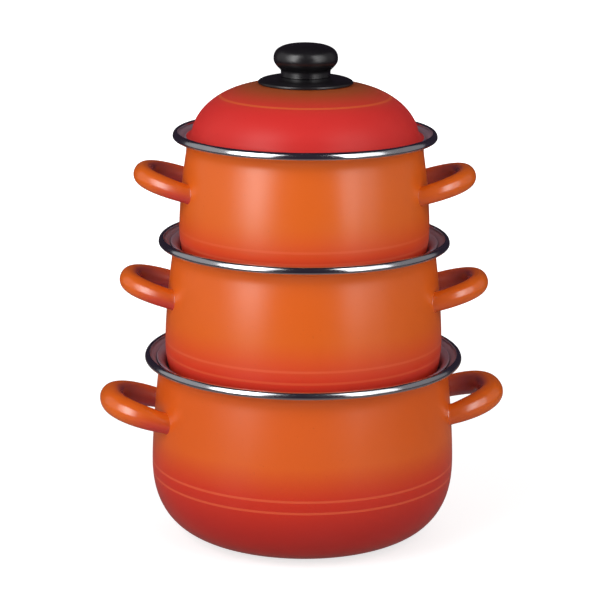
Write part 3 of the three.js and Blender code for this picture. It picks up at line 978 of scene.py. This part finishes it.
for pot in POTS:
    add_pot_body(pot)
    add_rim_band(pot)
    add_handle(pot, "right", 0)
    add_handle(pot, "left", 1)
    add_lid_shell(pot)
    add_knob_skirt(pot)
    add_knob(pot)
    add_knob_insert(pot)
    add_washer(pot)
    add_screw(pot)


# Stage, in metres and degrees: a pale floor, and a dark room that only reflections see


FLOOR_RADIUS = 6.0
FLOOR_CORNERS = 96
FLOOR_DROP = 0.0002
FLOOR_PALE = 0.55
FLOOR_LIFT = 0.7
FLOOR_FADE = (0.25, 0.9)
AMBIENT = 0.3
ROOM_RADIUS = 3.4
ROOM_START = 0.065
ROOM_TOP = 89
ROOM_FLOOR_POINTS = 3
ROOM_WALL_POINTS = 19
ROOM_TURNS = 72
ROOM_SHADE = linear(42, 34, 46)
ROOM_FLOOR_SHADE = linear(118, 106, 104)
ROOM_FADE = (0.2, 1.0)


def seen_directly(nodes):
    """1 for rays that show the stage itself: from the camera, in reflections or through glass."""
    path = nodes.add("ShaderNodeLightPath", {}).outputs
    mirrored = nodes.math("MAXIMUM", path["Is Glossy Ray"], path["Is Transmission Ray"])
    return nodes.math("MAXIMUM", path["Is Camera Ray"], mirrored)


def floor_material():
    """A matt pale floor that keeps its shadow, lifted to white where it is looked at and far away."""
    material, nodes, shader = finish("floor", 1.0)
    shader["Base Color"].default_value = (FLOOR_PALE, FLOOR_PALE, FLOOR_PALE, 1)
    shader["Specular IOR Level"].default_value = 0.0
    shader["Emission Color"].default_value = WHITE
    far = nodes.ease(nodes.from_middle(), *FLOOR_FADE)
    lift = nodes.math("MULTIPLY_ADD", far, 1 - FLOOR_LIFT, FLOOR_LIFT)
    nodes.join(shader["Emission Strength"], nodes.math("MULTIPLY", seen_directly(nodes), lift))
    return material


def room_material():
    """Dark matt walls, and a floor that is paler near the pots."""
    material = bpy.data.materials.new("room")
    material.use_nodes = True
    material.node_tree.nodes.clear()
    nodes = Nodes(material.node_tree)
    shade = nodes.blend(nodes.ease(nodes.from_middle(), *ROOM_FADE), ROOM_FLOOR_SHADE, ROOM_SHADE)
    glow = nodes.add("ShaderNodeEmission", {"Color": shade})
    nodes.add("ShaderNodeOutputMaterial", {"Surface": glow.outputs[0]})
    return material


def add_stage(name, points, faces, material):
    """A mesh object that isn't part of the set."""
    mesh = bpy.data.meshes.new(name)
    mesh.from_pydata(points.tolist(), [], faces)
    mesh.materials.append(material)
    stage = bpy.data.objects.new(name, mesh)
    bpy.context.scene.collection.objects.link(stage)
    return stage


def add_floor():
    """A round floor of one face: one point carried round."""
    ring = carried_round(np.array([[FLOOR_RADIUS, -FLOOR_DROP]]), FLOOR_CORNERS)[0]
    add_stage("floor", ring, [list(range(FLOOR_CORNERS))], floor_material())


def add_room():
    """Dark surroundings for reflections: a profile out along the floor, and up over the top as r = R cos b,
    h = R sin b, carried round."""
    lift = np.radians(np.linspace(0, ROOM_TOP, ROOM_WALL_POINTS))
    walls = ROOM_RADIUS * np.stack([np.cos(lift), np.sin(lift)], 1)
    profile = joined(line((ROOM_START, 0), (ROOM_RADIUS, 0), ROOM_FLOOR_POINTS), walls)
    points = carried_round(profile, ROOM_TURNS).reshape(-1, 3)
    faces = cells(len(profile), ROOM_TURNS, False).tolist()
    room = add_stage("room", points, faces, room_material())
    room.visible_camera = False
    room.visible_diffuse = False
    room.visible_shadow = False
    room.visible_transmission = False


def light_world():
    """Even light from all round, and white where the background is looked at."""
    world = bpy.data.worlds.new("studio")
    world.use_nodes = True
    nodes = Nodes(world.node_tree)
    background = world.node_tree.nodes["Background"].inputs
    background["Color"].default_value = WHITE
    nodes.join(background["Strength"], nodes.math("MULTIPLY_ADD", seen_directly(nodes), 1 - AMBIENT, AMBIENT))
    bpy.context.scene.world = world


# Lamps: two softboxes in front, each with a brighter core, and fills at the sides and the rear


# Degrees round from the front and up, metres away and wide, and the brightness that each lamp shows
LAMPS = (
    {"name": "left_softbox", "round": -47.5, "up": 25, "away": 1.75, "wide": 1.31, "brightness": 1.4},
    {"name": "left_softbox_core", "round": -45, "up": 25, "away": 1.74, "wide": 0.6, "brightness": 2.0},
    {"name": "right_softbox", "round": 51.5, "up": 25, "away": 1.75, "wide": 1.17, "brightness": 1.05},
    {"name": "right_softbox_core", "round": 41, "up": 25, "away": 1.74, "wide": 0.5, "brightness": 1.3},
    {"name": "left_side_fill", "round": -95, "up": 20, "away": 1.8, "wide": 1.9, "brightness": 0.25},
    {"name": "right_side_fill", "round": 95, "up": 20, "away": 1.8, "wide": 1.9, "brightness": 0.15},
    {"name": "rear_fill", "round": 180, "up": 8, "away": 2.2, "wide": 2.0, "brightness": 1.4},
)
LAMP_TALL = 1.8
LAMP_WATTS = 4
UNMIRRORED_LAMP = "rear_fill"
MIDDLE = Vector((0, 0, 0.17))


def add_lamp(lamp):
    """A rectangular lamp that faces the middle of the stack. Its power is the watts that a square metre of
    brightness 1 takes, times its brightness and area. Reflections leave the unmirrored lamp out."""
    light = bpy.data.lights.new(lamp["name"], "AREA")
    light.shape = "RECTANGLE"
    light.size = lamp["wide"]
    light.size_y = LAMP_TALL
    light.energy = LAMP_WATTS * lamp["brightness"] * lamp["wide"] * LAMP_TALL
    turn = math.radians(lamp["round"])
    lift = math.radians(lamp["up"])
    back = Vector((math.sin(turn) * math.cos(lift), -math.cos(turn) * math.cos(lift), math.sin(lift)))
    softbox = bpy.data.objects.new(lamp["name"], light)
    softbox.location = MIDDLE + lamp["away"] * back
    softbox.rotation_euler = back.to_track_quat("Z", "Y").to_euler()
    softbox.visible_camera = False
    softbox.visible_glossy = lamp["name"] != UNMIRRORED_LAMP
    bpy.context.scene.collection.objects.link(softbox)


# Camera, as the photograph was taken: from in front and a little above, with a long lens


CAMERA_PLACE = (0, -1.529, 0.5396)
CAMERA_PITCH = 76.21
CAMERA_ROLL = 0.49
CAMERA_LENS = 135.4
CAMERA_SENSOR = 36
CAMERA_SHIFT = (-0.0062, 0.0008)


def add_camera():
    """The scene's camera, rolled about its own axis, pitched up from straight down, and put in its place."""
    camera = bpy.data.cameras.new("camera")
    camera.sensor_width = CAMERA_SENSOR
    camera.lens = CAMERA_LENS
    camera.shift_x, camera.shift_y = CAMERA_SHIFT
    eye = bpy.data.objects.new("camera", camera)
    pitch = Matrix.Rotation(math.radians(CAMERA_PITCH), 4, "X")
    roll = Matrix.Rotation(math.radians(CAMERA_ROLL), 4, "Z")
    eye.matrix_world = Matrix.Translation(CAMERA_PLACE) @ pitch @ roll
    bpy.context.scene.collection.objects.link(eye)
    bpy.context.scene.camera = eye


add_floor()
add_room()
for lamp in LAMPS:
    add_lamp(lamp)
light_world()
add_camera()
bpy.context.scene.view_settings.view_transform = "Standard"
